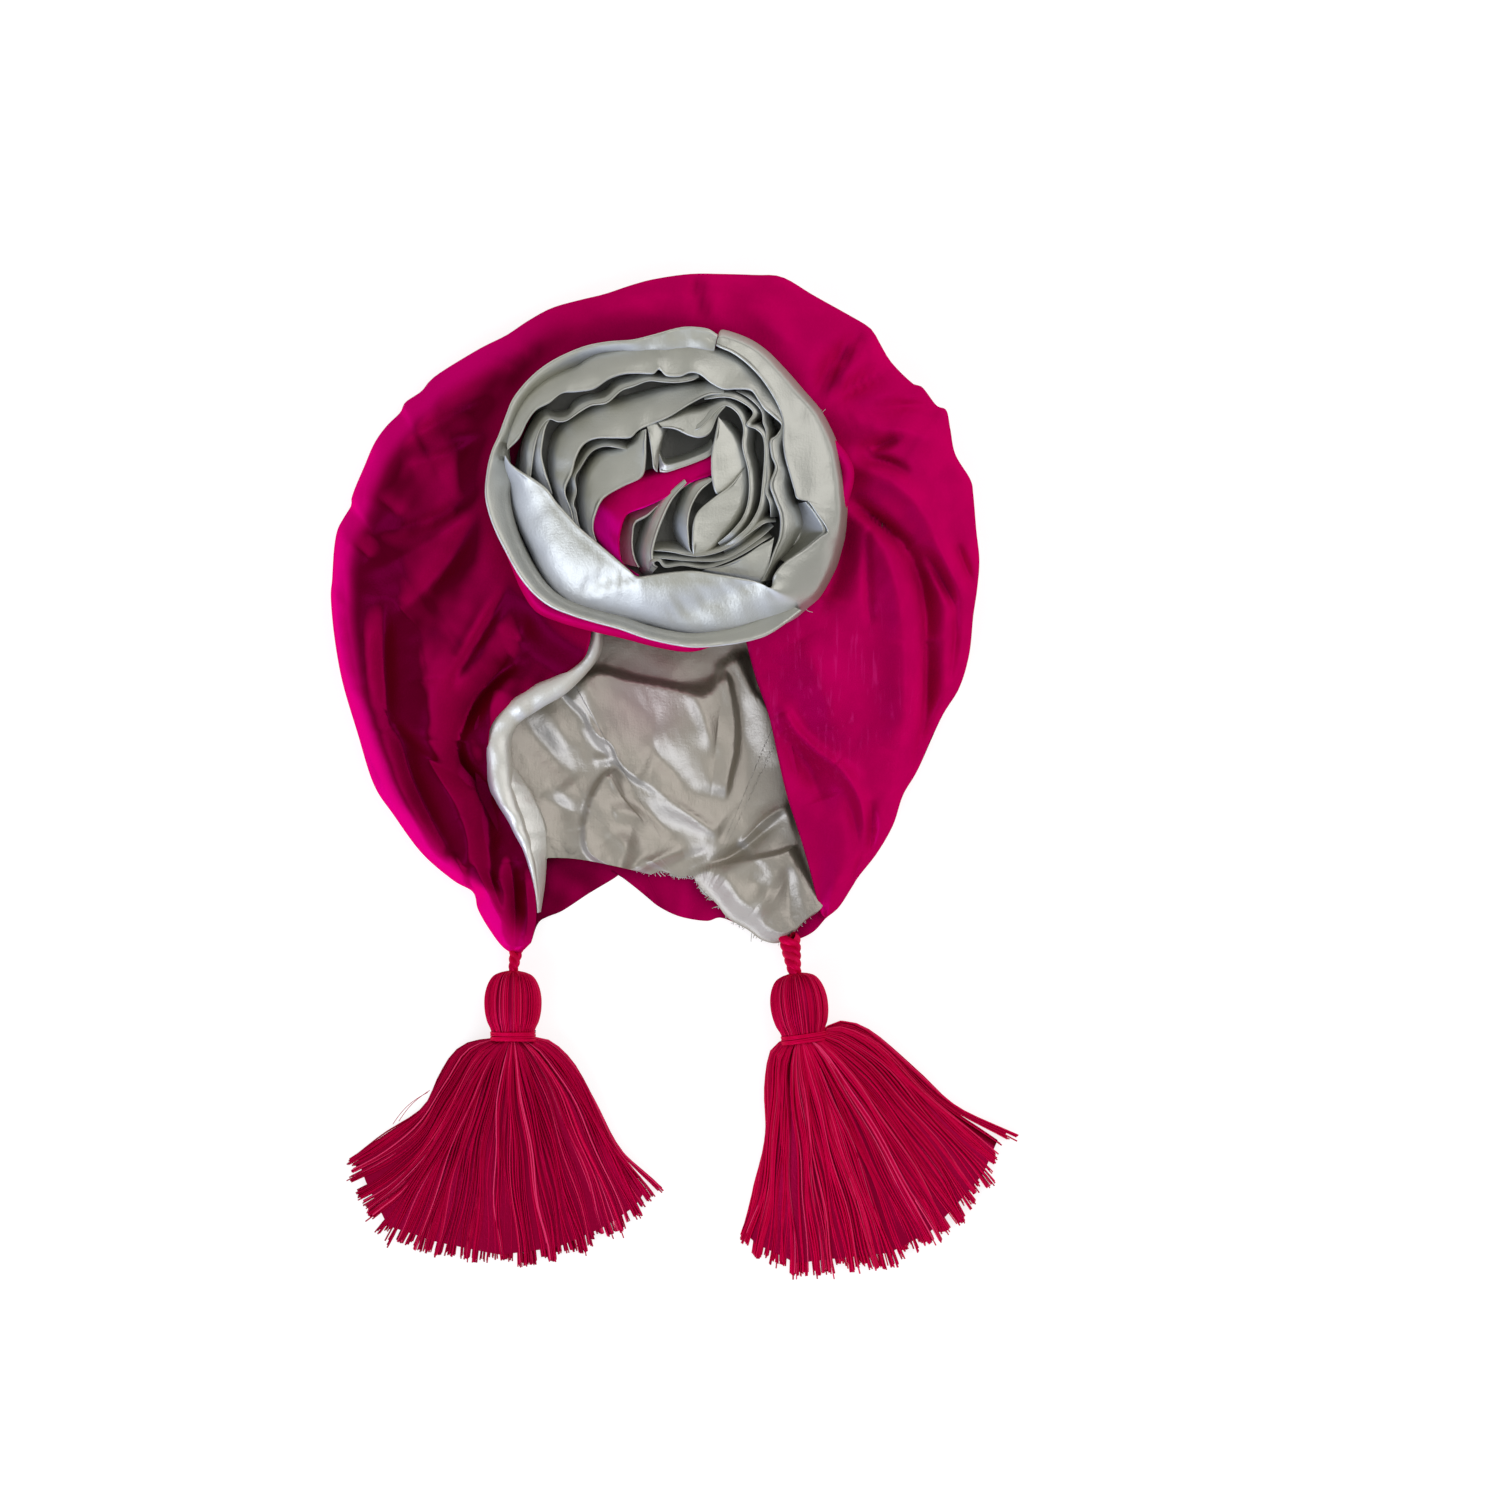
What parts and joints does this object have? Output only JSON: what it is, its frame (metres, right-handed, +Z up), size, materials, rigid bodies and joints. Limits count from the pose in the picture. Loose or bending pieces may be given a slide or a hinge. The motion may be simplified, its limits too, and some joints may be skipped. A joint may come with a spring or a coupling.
{
  "type": "turban hat",
  "caption": "Soft lined turban hat lying on its back, with a coiled satin rosette on the front and a thread tassel at each lower corner.",
  "frame": {"origin": "on the surface that the hat lies on, below the middle of the bag, on its flat back", "axes": "+Z up out of the front, +Y from the nape to the crown, +X towards the wearer's left"},
  "size_m": [0.2731, 0.403, 0.0643],
  "materials": {
    "magenta_crepe": "matt crepe",
    "grey_satin": "satin sheen",
    "crimson_thread": "silky thread"
  },
  "bodies": {
    "root": {"crown_shell": "magenta_crepe", "crown_lining": "grey_satin", "edge_facing": "grey_satin", "rosette_wrap": "magenta_crepe", "rosette_outer_turn": "grey_satin", "rosette_coil": "grey_satin", "rosette_inner_turn": "grey_satin", "rosette_petal": "grey_satin", "rosette_leaf": "grey_satin", "rosette_curl": "grey_satin", "rosette_tail": "magenta_crepe", "left_tassel": "crimson_thread", "left_tassel_binding": "crimson_thread", "left_tassel_loop": "crimson_thread", "right_tassel": "crimson_thread", "right_tassel_binding": "crimson_thread", "right_tassel_loop": "crimson_thread"}
  },
  "joints": []
}
